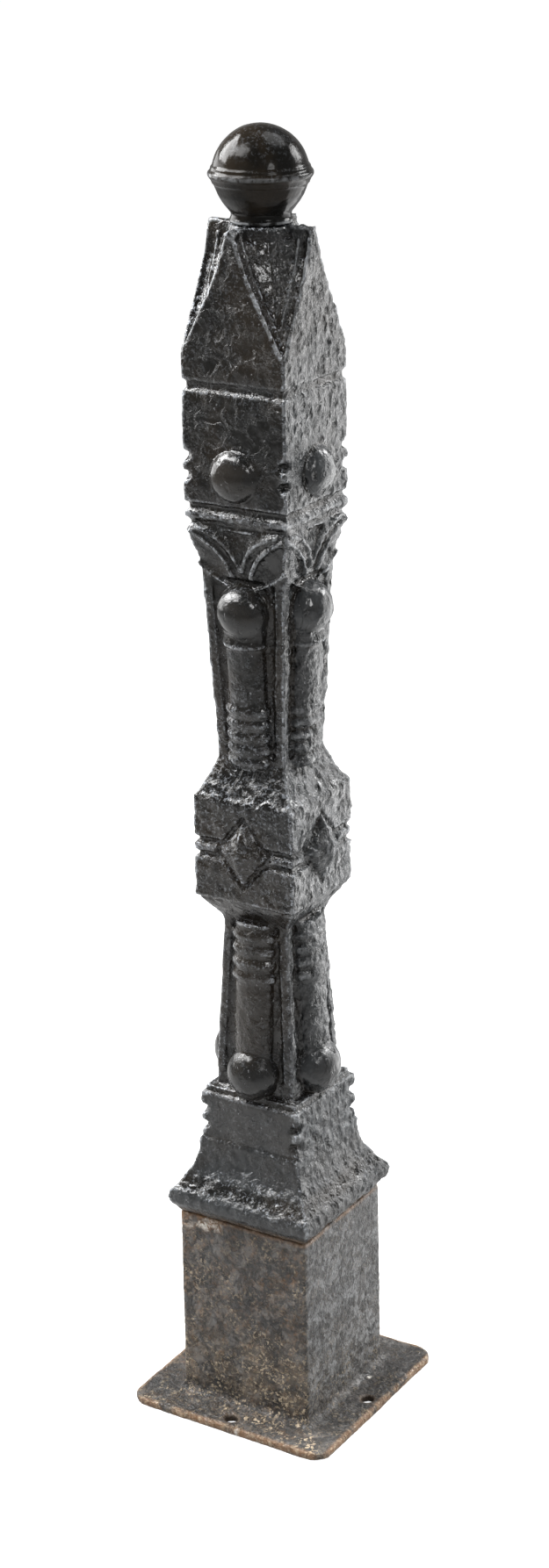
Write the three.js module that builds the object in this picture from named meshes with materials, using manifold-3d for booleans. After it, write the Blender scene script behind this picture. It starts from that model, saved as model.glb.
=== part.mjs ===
// A square cast-iron newel post with a ball finial, standing on a flanged pedestal.
// Millimetres, +Z up, origin at the middle of the underside. All four sides are alike.

import * as THREE from "three";
import { mergeVertices } from "three/addons/utils/BufferGeometryUtils.js";
import Module from "manifold-3d";

const wasm = await Module();
wasm.setup();

// Driving dimensions

const postHeight = 1273;
const plateSide = 228.6;
const plateThickness = 8.5;
const plateCornerRadius = 19;
const screwHoleRadius = 6.3;
const screwHoleReach = 99;
const touchGap = 0.3;
// Each side of the pedestal leans in by this much at the top
const pedestalDraft = 0.9;
const pedestalFootRadius = 7;
const pedestalFootStart = 2;

// Half-widths of the square sections
const pedestalHalf = 73.6;
const beadHalf = 81.2;
const blockHalf = 55.2;
const shaftWide = 44.6;
const shaftNarrow = 36.4;

// Heights of the main levels, from the floor
const pedestalTop = 212;
const baseBlockBottom = 292;
const baseBlockTop = 340;
const lowerShaftTop = 524;
const middleBlockBottom = 550;
const middleBlockTop = 651;
const upperShaftBottom = 688;
const upperShaftTop = 868;
const headBlockBottom = 939;
const headBlockTop = 1041;
const capBottom = 1051;
const capShoulder = 1066;
const capTop = 1187;

// Shafts: a bar at each corner, a sunk panel between the bars and a colonette on it
const cornerBar = 11;
const panelDepth = 2;
const colonetteHalfWidth = 20.5;
const colonetteProud = 12;
const ringGrowth = 3.2;
const lowerColonetteBottom = 352;
const upperColonetteTop = 818;
const lowerRings = { lowest: 471, pitch: 13.8, count: 4 };
const upperRings = { lowest: 691, pitch: 12.6, count: 5 };

// Round bosses
const upperBall = { radius: 26, proud: 24.5, reach: 41.4, height: 837 };
const lowerBall = { radius: 28, proud: 27, reach: 41.5, height: 369.5 };
const headBoss = { radius: 24, proud: 14, reach: 54.7, height: 967 };
const cupTop = { radius: 24.4, height: 828 };
const cupBottom = { radius: 21.5, height: 804 };
const cupDepthShare = 0.72;

// Lozenges of the middle block
const lozengeHalfWidth = 31;
const lozengeHalfHeight = 38;
const lozengeSunk = 4.5;
const lozengeHeight = 601;
const pillowProud = 7;
const strapHalfHeight = 4;
const strapGroove = 6;

// Grooves across the corners of the head block and of the base block
const notchHeights = [981, 962.5, 322, 304];
const notchHalfHeight = 4.5;
const notchDepth = 8.4;

// Leaves of the flare under the head block
const leafBottom = 859;
const ribHalf = 2;
const ribSteps = 4;
const spandrelReach = 48.4;

// Gabled cap
const gableTip = 4.5;
const gableThickness = 15;
const ridgeHalf = 5;
const ridgeDepth = 22;
const facetFoot = 66;
const facetTop = 1174;
const drumRadius = 30;

// Ball finial
const neckRadius = 27;
const domeRadius = 43.4;
const finialRing = 47.2;

const sides = [0, 1, 2, 3];
const colonetteSegments = 12;
const ballSegments = 12;
const ballRings = 8;
const notchSegments = 6;
const finialSegments = 26;

const vec2 = (x, y) => new THREE.Vector2(x, y);

// Closed meshes to solids and back

function solidOf(geometry) {
  const bare = new THREE.BufferGeometry();
  bare.setAttribute("position", geometry.getAttribute("position").clone());
  if (geometry.index) bare.setIndex(geometry.index.clone());
  const merged = mergeVertices(bare, 1e-3);
  const mesh = new wasm.Mesh({
    numProp: 3,
    vertProperties: new Float32Array(merged.getAttribute("position").array),
    triVerts: new Uint32Array(merged.index.array),
  });
  mesh.merge();
  return new wasm.Manifold(mesh);
}

function geometryOf(solid) {
  const mesh = solid.getMesh();
  const geometry = new THREE.BufferGeometry();
  geometry.setAttribute("position", new THREE.BufferAttribute(mesh.vertProperties, 3));
  geometry.setIndex(new THREE.BufferAttribute(mesh.triVerts, 1));
  geometry.computeVertexNormals();
  return geometry;
}

function joined(solids) {
  return solids.reduce((whole, piece) => whole.add(piece));
}

// The same geometry on all four sides, modelled on the side that faces -Y
function onFourSides(geometry) {
  return joined(sides.map((side) => solidOf(geometry.clone().rotateZ((side * Math.PI) / 2))));
}

// Basic shapes

// A square section turned about the Z axis, from [half-width, height] pairs
function squareTurned(profile) {
  const points = profile.map(([half, height]) => vec2(half * Math.SQRT2, height));
  return new THREE.LatheGeometry(points, 4, Math.PI / 4).rotateX(Math.PI / 2);
}

// A round section turned about the Z axis, from [radius, height] pairs
function roundTurned(profile, segments) {
  const points = profile.map(([radius, height]) => vec2(radius, height));
  return new THREE.LatheGeometry(points, segments).rotateX(Math.PI / 2);
}

// Points of an arc about a centre, from one angle to another in degrees
function arc(centreAcross, centreHeight, radius, from, to, steps) {
  const points = [];
  for (let step = 0; step <= steps; step += 1) {
    const angle = THREE.MathUtils.degToRad(from + ((to - from) * step) / steps);
    points.push([centreAcross + radius * Math.cos(angle), centreHeight + radius * Math.sin(angle)]);
  }
  return points;
}

// An outline in the plane of the -Y side, made solid from one depth to another
function faceSlab(outline, innerReach, outerReach) {
  const shape = new THREE.Shape(outline.map(([across, height]) => vec2(across, height)));
  const depth = outerReach - innerReach;
  const slab = new THREE.ExtrudeGeometry(shape, { depth, bevelEnabled: false, steps: 1 });
  return slab.rotateX(Math.PI / 2).translate(0, -innerReach, 0);
}

// A block that tapers from one height to the next, on the -Y side
function taperedBlock(bottom, top) {
  const block = new THREE.BoxGeometry(2, 2, 2);
  const position = block.getAttribute("position");
  for (let index = 0; index < position.count; index += 1) {
    const end = position.getZ(index) > 0 ? top : bottom;
    const reach = position.getY(index) > 0 ? end.inner : end.outer;
    position.setXYZ(index, position.getX(index) * end.half, -reach, end.height);
  }
  return block;
}

function halfAt(height, low, high) {
  const share = (height - low.height) / (high.height - low.height);
  return THREE.MathUtils.lerp(low.half, high.half, share);
}

// Pedestal

function plateShape() {
  const half = plateSide / 2;
  const inner = half - plateCornerRadius;
  const shape = new THREE.Shape();
  shape.absarc(inner, inner, plateCornerRadius, 0, Math.PI / 2);
  shape.absarc(-inner, inner, plateCornerRadius, Math.PI / 2, Math.PI);
  shape.absarc(-inner, -inner, plateCornerRadius, Math.PI, 1.5 * Math.PI);
  shape.absarc(inner, -inner, plateCornerRadius, 1.5 * Math.PI, 2 * Math.PI);
  for (const side of sides) {
    const angle = (side * Math.PI) / 2;
    const hole = new THREE.Path();
    const across = screwHoleReach * Math.cos(angle);
    const along = screwHoleReach * Math.sin(angle);
    hole.absarc(across, along, screwHoleRadius, 0, 2 * Math.PI, true);
    shape.holes.push(hole);
  }
  return shape;
}

function pedestal() {
  const plate = new THREE.ExtrudeGeometry(plateShape(), {
    depth: plateThickness,
    bevelEnabled: false,
    curveSegments: 8,
  });
  const foot = arc(
    pedestalHalf + pedestalFootRadius,
    plateThickness + pedestalFootRadius - 1,
    pedestalFootRadius,
    270,
    180,
    4,
  );
  const box = squareTurned([
    [0, pedestalFootStart],
    [pedestalHalf + pedestalFootRadius, pedestalFootStart],
    ...foot,
    [pedestalHalf - pedestalDraft, pedestalTop],
    [0, pedestalTop],
  ]);
  return solidOf(plate).add(solidOf(box));
}

// Post body: the square profile from the bead up to the head block

function bodyProfile() {
  const bottom = pedestalTop + touchGap;
  const beadRadius = 14;
  const beadHeight = bottom + beadRadius + 3;
  return [
    [0, bottom],
    [pedestalHalf - 1.2, bottom],
    [beadHalf - 7, bottom + 3],
    ...arc(beadHalf - beadRadius, beadHeight, beadRadius, -50, 55, 6),
    [72.4, 247],
    [67.2, 253],
    [63.4, 259],
    [60.4, 267],
    [58.4, 277],
    [57.2, 288],
    [blockHalf, baseBlockBottom],
    [blockHalf, baseBlockTop],
    [51.6, baseBlockTop + 1.5],
    [51.6, baseBlockTop + 4],
    [47.6, baseBlockTop + 5],
    [47.6, baseBlockTop + 8],
    [shaftWide - 1.4, baseBlockTop + 9],
    [shaftWide - 1.4, 361],
    [shaftWide - 0.2, 363],
    [shaftNarrow, lowerShaftTop],
    [38.8, 529],
    [42.4, 534.5],
    [46.4, 539.5],
    [50.4, 544.5],
    [51.4, middleBlockBottom - 3],
    [blockHalf, middleBlockBottom],
    [blockHalf, middleBlockTop],
    [50.2, 659],
    [45.4, 668],
    [41, 677.5],
    [shaftNarrow, upperShaftBottom],
    [shaftWide, upperShaftTop],
    [45.2, 880],
    [47.4, 888],
    [50, 896],
    [51.8, 905],
    [52.2, 915],
    [50.8, 917],
    [50.8, 919],
    [53.4, 921],
    ...arc(51.2, 926.5, 4, -50, 50, 4),
    [52.4, 932],
    [51.2, 934],
    [51.2, headBlockBottom - 2],
    [blockHalf, headBlockBottom],
    [blockHalf, headBlockTop],
    [52.2, headBlockTop + 3],
    [52.2, capBottom - 3],
    [blockHalf, capBottom],
    [blockHalf, capShoulder],
    [0, capShoulder],
  ];
}

const lowerShaft = {
  low: { height: 363, half: shaftWide - 0.2 },
  high: { height: lowerShaftTop, half: shaftNarrow },
};
const upperShaft = {
  low: { height: upperShaftBottom, half: shaftNarrow },
  high: { height: upperShaftTop, half: shaftWide },
};

// The sunk panel between the corner bars of a shaft
function shaftPanel(shaft) {
  const proudOfFace = 6;
  const end = ({ height, half }) => ({
    height,
    half: half - cornerBar,
    inner: half - panelDepth,
    outer: half + proudOfFace,
  });
  return taperedBlock(end(shaft.low), end(shaft.high));
}

// A half-round colonette that follows the taper of its shaft, with a stack of rings
function colonette(shaft, bottom, top, stack) {
  const ringRadius = colonetteHalfWidth + ringGrowth;
  const rings = [[colonetteHalfWidth, stack.lowest - stack.pitch / 2]];
  for (let ring = 0; ring < stack.count; ring += 1) {
    const height = stack.lowest + ring * stack.pitch;
    rings.push(
      [ringRadius, height - stack.pitch * 0.25],
      [ringRadius, height + stack.pitch * 0.25],
      [colonetteHalfWidth, height + stack.pitch / 2],
    );
  }
  const points = [[0, bottom], [colonetteHalfWidth, bottom], ...rings, [colonetteHalfWidth, top], [0, top]];
  const middle = (bottom + top) / 2;
  const lean = Math.atan2(shaft.high.half - shaft.low.half, shaft.high.height - shaft.low.height);
  return roundTurned(points, colonetteSegments)
    .translate(0, 0, -middle)
    .scale(1, colonetteProud / colonetteHalfWidth, 1)
    .rotateX(lean)
    .translate(0, -halfAt(middle, shaft.low, shaft.high), middle);
}

function ball({ radius, proud, reach, height }) {
  return new THREE.SphereGeometry(radius, ballSegments, ballRings)
    .rotateX(Math.PI / 2)
    .scale(1, proud / radius, 1)
    .translate(0, -reach, height);
}

// A tapering cup under the upper ball, down to the colonette
function ballCup() {
  const waist = (cupTop.radius + cupBottom.radius) / 2 - 1;
  const points = [
    [0, cupBottom.height],
    [cupBottom.radius, cupBottom.height],
    [waist, (cupTop.height + cupBottom.height) / 2],
    [cupTop.radius, cupTop.height],
    [0, cupTop.height],
  ];
  return roundTurned(points, ballSegments)
    .scale(1, cupDepthShare, 1)
    .translate(0, -upperBall.reach, 0);
}

// A groove across one corner, as wide on one face as on the next
function cornerNotch(height) {
  return new THREE.CylinderGeometry(1, 1, 3 * notchDepth, notchSegments)
    .rotateZ(Math.PI / 2)
    .scale(1, notchDepth, notchHalfHeight)
    .translate(0, -blockHalf * Math.SQRT2, height)
    .rotateZ(Math.PI / 4);
}

// Middle block: a sunk lozenge on each side, with a strap round the corners between them

function lozengeSinking() {
  const inner = blockHalf - lozengeSunk;
  const outer = blockHalf + 3;
  const diamond = faceSlab(
    [
      [-lozengeHalfWidth, lozengeHeight],
      [0, lozengeHeight - lozengeHalfHeight],
      [lozengeHalfWidth, lozengeHeight],
      [0, lozengeHeight + lozengeHalfHeight],
    ],
    inner,
    outer,
  );
  // Two grooves run out of it to the corners, with a strap left between them
  const grooves = [strapHalfHeight, -strapHalfHeight - strapGroove].map((above) =>
    onFourSides(
      faceSlab(
        [
          [-outer, lozengeHeight + above],
          [outer, lozengeHeight + above],
          [outer, lozengeHeight + above + strapGroove],
          [-outer, lozengeHeight + above + strapGroove],
        ],
        inner,
        outer,
      ),
    ),
  );
  return joined([onFourSides(diamond), ...grooves]);
}

// The raised pillow in the lozenge, with a soft crown
function lozengePillow() {
  const base = -lozengeSunk - 2;
  const profile = [
    [0, base],
    [0.9, base],
    [0.9, -lozengeSunk + 0.4],
    [0.66, pillowProud * 0.5],
    [0.34, pillowProud * 0.9],
    [0, pillowProud],
  ];
  return roundTurned(profile, 4)
    .scale(lozengeHalfWidth, lozengeHalfHeight, 1)
    .rotateX(Math.PI / 2)
    .translate(0, -blockHalf, lozengeHeight);
}

// Leaves of the flare: a skin over the shaft that ends in two curled lower edges a side
function leafSkin() {
  const skin = solidOf(
    squareTurned([
      [0, leafBottom - 4],
      [shaftWide + 1.6, leafBottom - 4],
      [shaftWide + 1.8, 878],
      [48.6, 888],
      [51, 897],
      [52.6, 906],
      [0, 906],
    ]),
  );
  const below = faceSlab(
    [
      [-60, leafBottom - 8],
      [60, leafBottom - 8],
      [60, 878],
      [44, 873],
      [31, 866],
      [16, leafBottom],
      [0, leafBottom - 4],
      [-16, leafBottom],
      [-31, 866],
      [-44, 873],
      [-60, 878],
    ],
    shaftWide - 1,
    60,
  );
  return skin.subtract(onFourSides(below));
}

// A leaf rib that rises from above the ball and curls out to the corner
function leafRib(points, side) {
  const path = new THREE.CatmullRomCurve3(
    points.map(([across, height, reach]) => new THREE.Vector3(side * across, -reach, height)),
  );
  const section = new THREE.Shape(
    sides.map((corner) => {
      const angle = (corner * Math.PI) / 2;
      return vec2(ribHalf * Math.cos(angle), ribHalf * Math.sin(angle));
    }),
  );
  return new THREE.ExtrudeGeometry(section, { steps: ribSteps, extrudePath: path });
}

function leafRibs() {
  const innerRib = [
    [0.5, 876, 45.4],
    [6, 893, 49.2],
    [14, 903, 51.4],
    [26, 910, 52],
    [42, 914, 52.2],
  ];
  const outerRib = [
    [9, 872, 45.6],
    [13, 887, 48.4],
    [24, 899, 51],
    [38, 908, 52.2],
    [51, 913, 52.4],
  ];
  const ribs = [innerRib, outerRib].flatMap((points) => [leafRib(points, 1), leafRib(points, -1)]);
  return joined(ribs.map(onFourSides));
}

// The sunk three-cornered field between the leaves
function spandrel() {
  const outline = [
    [-19, 914],
    [-9, 902],
    [0, 884],
    [9, 902],
    [19, 914],
  ];
  return faceSlab(outline, spandrelReach, blockHalf + 5);
}

// Cap: a gable on each side, joined by sloping corner facets, with a ridge to each tip

function gableOutline() {
  const right = [
    [blockHalf, capShoulder - 8],
    [blockHalf - 0.6, capShoulder + 2],
    [blockHalf - 2.6, capShoulder + 9],
    [blockHalf - 8.4, capShoulder + 20],
    [gableTip + 2.4, capTop - 28],
    [gableTip + 0.4, capTop - 18],
    [gableTip, capTop - 3],
    [gableTip - 2, capTop],
  ];
  const left = right.map(([across, height]) => [-across, height]).reverse();
  return [...right, ...left];
}

function cap() {
  const gables = onFourSides(faceSlab(gableOutline(), blockHalf - gableThickness, blockHalf));
  const ridge = onFourSides(
    new THREE.BoxGeometry(2 * ridgeHalf, blockHalf - 6, ridgeDepth).translate(
      0,
      -blockHalf / 2,
      capTop - touchGap - ridgeDepth / 2,
    ),
  );
  // The facets are the sides of a square spire turned 45 degrees, inside the gables
  const facets = squareTurned([
    [0, capShoulder],
    [facetFoot, capShoulder],
    [drumRadius, facetTop],
    [0, facetTop],
  ]).rotateZ(Math.PI / 4);
  const within = squareTurned([
    [0, capShoulder - 4],
    [blockHalf - 1, capShoulder - 4],
    [blockHalf - 1, capTop],
    [0, capTop],
  ]);
  const drum = roundTurned(
    [
      [0, capShoulder],
      [drumRadius, capShoulder],
      [drumRadius, capTop - 2.4],
      [drumRadius - 1.6, capTop - touchGap],
      [0, capTop - touchGap],
    ],
    finialSegments,
  );
  const spire = solidOf(facets).intersect(solidOf(within));
  return joined([gables, spire, ridge, solidOf(drum)]);
}

function postBody() {
  const raised = [
    colonette(lowerShaft, lowerColonetteBottom, lowerShaftTop + 2, lowerRings),
    colonette(upperShaft, upperShaftBottom - 4, upperColonetteTop, upperRings),
    ball(lowerBall),
    ball(upperBall),
    ballCup(),
    ball(headBoss),
    lozengePillow(),
  ];
  const sunk = [
    onFourSides(shaftPanel(lowerShaft)),
    onFourSides(shaftPanel(upperShaft)),
    lozengeSinking(),
    onFourSides(spandrel()),
    ...notchHeights.map((height) => onFourSides(cornerNotch(height))),
  ];
  return solidOf(squareTurned(bodyProfile()))
    .subtract(joined(sunk))
    .add(joined(raised.map(onFourSides)))
    .add(leafSkin().subtract(onFourSides(spandrel())))
    .add(leafRibs())
    .add(cap());
}

// Finial

// Made at its own foot, then placed on the cap
function finial() {
  const ringHeight = 43;
  const ringRoundness = 4;
  const top = postHeight - capTop;
  const profile = [
    [0, 0],
    [neckRadius + 1.4, 0],
    [neckRadius + 1.4, 3],
    [neckRadius, 5],
    [neckRadius, 9],
    [30.5, 13],
    [34.4, 18],
    [38, 24],
    [40.8, 31],
    [42.4, 36],
    [44.8, ringHeight - 6],
    ...arc(finialRing - ringRoundness, ringHeight, ringRoundness, -55, 55, 3),
    [44.8, ringHeight + 5],
    [43.6, ringHeight + 6.5],
    ...arc(0, top - domeRadius, domeRadius, 9, 81, 8),
    [0, top],
  ];
  return solidOf(roundTurned(profile, finialSegments));
}

// Scene

const blackEnamel = new THREE.MeshStandardMaterial({
  color: 0x1b1a18,
  roughness: 0.28,
  metalness: 0.35,
});
const dullIron = new THREE.MeshStandardMaterial({
  color: 0x37312c,
  roughness: 0.62,
  metalness: 0.4,
});

function piece(name, solid, material, foot) {
  const mesh = new THREE.Mesh(geometryOf(solid), material);
  mesh.name = name;
  mesh.position.z = foot;
  return mesh;
}

const newelPost = new THREE.Group();
newelPost.add(piece("pedestal", pedestal(), dullIron, 0));
newelPost.add(piece("post_body", postBody(), blackEnamel, 0));
newelPost.add(piece("ball_finial", finial(), blackEnamel, capTop));

export default newelPost;
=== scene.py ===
# Cast-iron newel post: a pedestal on a flange plate, a square post body and a ball finial.
# Heights and widths in the dictionaries are millimetres from the middle of the underside.
import math

import bpy
import numpy as np
from mathutils import Euler, Matrix, Vector


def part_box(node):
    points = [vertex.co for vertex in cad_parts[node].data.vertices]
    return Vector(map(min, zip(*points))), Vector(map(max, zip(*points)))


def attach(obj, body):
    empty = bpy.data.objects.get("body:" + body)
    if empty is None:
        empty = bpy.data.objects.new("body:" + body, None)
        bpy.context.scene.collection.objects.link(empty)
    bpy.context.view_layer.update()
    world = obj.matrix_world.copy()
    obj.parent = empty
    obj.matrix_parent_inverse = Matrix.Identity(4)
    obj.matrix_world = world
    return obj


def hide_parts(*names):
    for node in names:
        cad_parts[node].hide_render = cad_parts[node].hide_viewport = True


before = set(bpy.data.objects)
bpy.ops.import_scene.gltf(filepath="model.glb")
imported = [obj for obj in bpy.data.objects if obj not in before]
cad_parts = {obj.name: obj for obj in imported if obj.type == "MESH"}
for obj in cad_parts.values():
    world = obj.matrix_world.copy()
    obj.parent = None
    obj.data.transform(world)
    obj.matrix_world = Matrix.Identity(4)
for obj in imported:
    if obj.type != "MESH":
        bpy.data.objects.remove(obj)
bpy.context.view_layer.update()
mm = 0.001
print("frame loaded")


# Camera

cameraPlace = {
    "azimuth": 32.26,  # degrees round the post from its -Y side
    "alongFloor": 2607,
    "height": 1642,
    "downward": 20.75,
    "rightward": 0.044,
    "roll": 1.10,  # the post leans this far to the left in the picture
    "lens": 67.4,  # on the 36 mm long side
}


def addCamera(place):
    heading = math.radians(place["azimuth"] - place["rightward"])
    azimuth = math.radians(place["azimuth"])
    location = (
        place["alongFloor"] * mm * math.sin(azimuth),
        -place["alongFloor"] * mm * math.cos(azimuth),
        place["height"] * mm,
    )
    bpy.ops.object.camera_add(location=location)
    camera = bpy.context.object
    level = Euler((math.radians(90 - place["downward"]), 0, heading)).to_matrix()
    rolled = level @ Matrix.Rotation(math.radians(-place["roll"]), 3, "Z")
    camera.rotation_euler = rolled.to_euler()
    camera.data.lens = place["lens"]
    bpy.context.scene.camera = camera


addCamera(cameraPlace)
print("camera placed")


# Small tools

def clearSelection():
    if bpy.context.object and bpy.context.object.mode != "OBJECT":
        bpy.ops.object.mode_set(mode="OBJECT")
    bpy.ops.object.select_all(action="DESELECT")


def pick(*items):
    clearSelection()
    for item in items:
        item.select_set(True)
    bpy.context.view_layer.objects.active = items[0]


def settle(item):  # its place goes into its mesh
    pick(item)
    bpy.ops.object.transform_apply(location=True, rotation=True, scale=True)


def joinAll(items):
    pick(*items)
    bpy.ops.object.join()
    return bpy.context.object


def onFourSides(item):  # what is modelled on the -Y side goes onto the other three
    turned = [item]
    for quarter in (1, 2, 3):
        pick(item)
        bpy.ops.object.duplicate()
        twin = bpy.context.object
        twin.rotation_euler.z = quarter * math.pi / 2
        settle(twin)
        turned.append(twin)
    return joinAll(turned)


def mirrored(item):  # the same form on the other half of the side
    pick(item)
    bpy.ops.object.duplicate()
    twin = bpy.context.object
    twin.scale.x = -1
    settle(twin)
    faceOutward(twin)
    return joinAll([item, twin])


def applyModifier(item, kind, **settings):
    pick(item)
    bpy.ops.object.modifier_add(type=kind)
    modifier = item.modifiers[-1]
    for name, value in settings.items():
        setattr(modifier, name, value)
    bpy.ops.object.modifier_apply(modifier=modifier.name)


def faceOutward(item):
    pick(item)
    bpy.ops.object.mode_set(mode="EDIT")
    bpy.ops.mesh.select_all(action="SELECT")
    bpy.ops.mesh.normals_make_consistent(inside=False)
    bpy.ops.object.mode_set(mode="OBJECT")


def roundEdges(item, wanted, width, segments):  # wanted picks an edge by its two ends, in mm
    pick(item)
    bpy.ops.object.mode_set(mode="EDIT")
    bpy.ops.mesh.select_mode(type="EDGE")
    bpy.ops.mesh.select_all(action="DESELECT")
    bpy.ops.object.mode_set(mode="OBJECT")
    for edge in item.data.edges:
        first, second = (item.data.vertices[index].co / mm for index in edge.vertices)
        edge.select = wanted(first, second)
    bpy.ops.object.mode_set(mode="EDIT")
    bpy.ops.mesh.bevel(offset=width * mm, segments=segments, affect="EDGES")
    bpy.ops.mesh.select_mode(type="VERT")
    bpy.ops.object.mode_set(mode="OBJECT")


def combine(target, other, operation):
    applyModifier(target, "BOOLEAN", operation=operation, solver="EXACT", object=other)
    bpy.data.objects.remove(other)


def liftSection(profile, deepen, y=0):  # the selected outline goes up through the profile
    half, height = profile[0]
    for nextHalf, nextHeight in profile[1:]:
        bpy.ops.mesh.extrude_region_move(
            TRANSFORM_OT_translate={"value": (0, 0, (nextHeight - height) * mm)}
        )
        grow = nextHalf / half
        bpy.ops.transform.resize(
            value=(grow, grow if deepen else 1, 1), center_override=(0, y * mm, nextHeight * mm)
        )
        half, height = nextHalf, nextHeight


def riseUp(name, sides, profile):  # one outline raised through [half-width, height] pairs
    clearSelection()
    square = sides == 4
    half, height = profile[0]
    bpy.ops.mesh.primitive_circle_add(
        vertices=sides,
        radius=half * (math.sqrt(2) if square else 1) * mm,
        fill_type="NGON",
        location=(0, 0, height * mm),
        rotation=(0, 0, math.radians(45) if square else 0),
    )
    solid = bpy.context.object
    solid.name = name
    settle(solid)
    bpy.ops.object.mode_set(mode="EDIT")
    bpy.ops.mesh.select_all(action="SELECT")
    liftSection(profile, True)
    faceOutward(solid)
    return solid


def arc(centreHalf, centreHeight, radius, start, end, steps):  # degrees, as profile points
    angles = [math.radians(start + (end - start) * step / steps) for step in range(steps + 1)]
    return [
        (centreHalf + radius * math.cos(angle), centreHeight + radius * math.sin(angle))
        for angle in angles
    ]


def faceSlab(name, outline, innerReach, outerReach):  # an outline on the -Y side, with depth
    clearSelection()
    bpy.ops.mesh.primitive_circle_add(vertices=len(outline), radius=1, fill_type="NGON")
    slab = bpy.context.object
    slab.name = name
    for vertex, (across, height) in zip(slab.data.vertices, outline):
        vertex.co = (across * mm, -innerReach * mm, height * mm)
    bpy.ops.object.mode_set(mode="EDIT")
    bpy.ops.mesh.select_all(action="SELECT")
    bpy.ops.mesh.extrude_region_move(
        TRANSFORM_OT_translate={"value": (0, -(outerReach - innerReach) * mm, 0)}
    )
    faceOutward(slab)
    return slab


def rod(name, points, radius):  # a round bead along five points: across, height, reach
    clearSelection()
    bpy.ops.curve.primitive_nurbs_path_add(location=(0, 0, 0))
    bead = bpy.context.object
    bead.name = name
    for point, (across, height, reach) in zip(bead.data.splines[0].points, points):
        point.co = (across * mm, -reach * mm, height * mm, 1)
    bead.data.bevel_depth = radius * mm
    bead.data.bevel_resolution = 3
    bead.data.use_fill_caps = True
    bpy.ops.object.convert(target="MESH")
    return bpy.context.object


# Post body: every form of the casting, fused into one skin further down

postLow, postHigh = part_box("post_body")
postBottom = postLow.z / mm
postTop = postHigh.z / mm

body = {  # each pair in a list is a half-width and a height
    "seatHalf": 72.4,
    "beadHalf": 81.2,
    "beadRadius": 14,
    "beadLift": 3,  # over the pedestal
    "cove": [
        (72.6, 244.5), (70.4, 246.5), (69.8, 249.5), (67.4, 253), (63.4, 259),
        (60.4, 267), (58.4, 277), (57.4, 287), (57.4, 290),
    ],
    "blockHalf": 55.2,
    "baseBlock": (292, 340),
    "shoulder": [  # heights over the base block
        (51.2, 1.2), (47.0, 1.6), (47.0, 3.8), (51.4, 4.0), (51.2, 6.6), (46.0, 7.2),
    ],
    "shaftFoot": [(43.0, 349), (43.2, 361), (44.4, 363)],
    "lowerShaft": (363, 524),
    "shaftWide": 44.6,
    "shaftNarrow": 36.4,
    "lowerFlare": [
        (38.6, 528), (41.6, 532.5), (46.0, 538.5), (49.6, 544), (51.4, 546),
        (51.8, 549),
    ],
    "middleBlock": (550, 651),
    "slopingTop": [(50.2, 659), (45.4, 668), (41.0, 677.5)],
    "upperShaft": (688, 868),
    "upperFlare": [
        (45.2, 880), (47.4, 888), (50.0, 896), (51.8, 905), (52.2, 915), (50.6, 917),
        (50.6, 919),
    ],
    "roundFillet": (50.4, 926.5, 4.6),  # its centre and its radius
    "flatFillet": [(51.0, 933), (51.0, 937)],
    "headBlock": (939, 1041),
    "capGroove": [(52.0, 1043), (52.0, 1049)],
    "cap": (1051, 1066),
}


def bodyProfile():
    block = body["blockHalf"]
    baseLow, baseHigh = body["baseBlock"]
    beadRadius = body["beadRadius"]
    beadMiddle = postBottom + beadRadius + body["beadLift"]
    profile = [
        (body["seatHalf"], postBottom),
        (body["beadHalf"] - beadRadius / 2, postBottom + body["beadLift"]),
        *arc(body["beadHalf"] - beadRadius, beadMiddle, beadRadius, -50, 55, 10),
        *body["cove"],
        (block, baseLow),
        (block, baseHigh),
        *[(half, baseHigh + rise) for half, rise in body["shoulder"]],
        *body["shaftFoot"],
        (body["shaftNarrow"], body["lowerShaft"][1]),
        *body["lowerFlare"],
        (block, body["middleBlock"][0]),
    ]
    for groove in lozenge["grooves"]:  # two grooves that leave a strap between them
        profile += [(block - depth, groove + rise) for depth, rise in lozenge["grooveSection"]]
    profile += [
        (block, body["middleBlock"][1]),
        *body["slopingTop"],
        (body["shaftNarrow"], body["upperShaft"][0]),
        (body["shaftWide"], body["upperShaft"][1]),
        *body["upperFlare"],
        *arc(*body["roundFillet"], -70, 70, 6),
        *body["flatFillet"],
        (block, body["headBlock"][0]),
        (block, body["headBlock"][1]),
        *body["capGroove"],
        (block, body["cap"][0]),
        (block, body["cap"][1]),
    ]
    return profile


shaft = {
    "cornerBar": 10.5,
    "cornerRound": 4.2,
    "panelDepth": 3.2,
    "panelClear": 8,  # how far the panel's cutter stands out
    "colonetteHalf": 20.5,
    "colonetteProud": 12,
    "ringOuter": 24,
    "ringBead": 5.2,
    "lower": {
        "foot": body["shaftFoot"][-1],
        "head": (body["shaftNarrow"], body["lowerShaft"][1]),
        "colonette": (352, 526),
        "rings": [471 + 13.8 * ring for ring in range(4)],
    },
    "upper": {
        "foot": (body["shaftNarrow"], body["upperShaft"][0]),
        "head": (body["shaftWide"], body["upperShaft"][1]),
        "colonette": (684, 818),
        "rings": [691 + 12.6 * ring for ring in range(5)],
    },
}


def isOnCorner(point):
    return abs(abs(point.x) - abs(point.y)) < 0.5


def isLowerShaftCorner(first, second):
    low, high = body["lowerShaft"]
    atHeight = min(first.z, second.z) > low - 1 and max(first.z, second.z) < high + 1
    return atHeight and isOnCorner(first) and isOnCorner(second)


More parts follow.
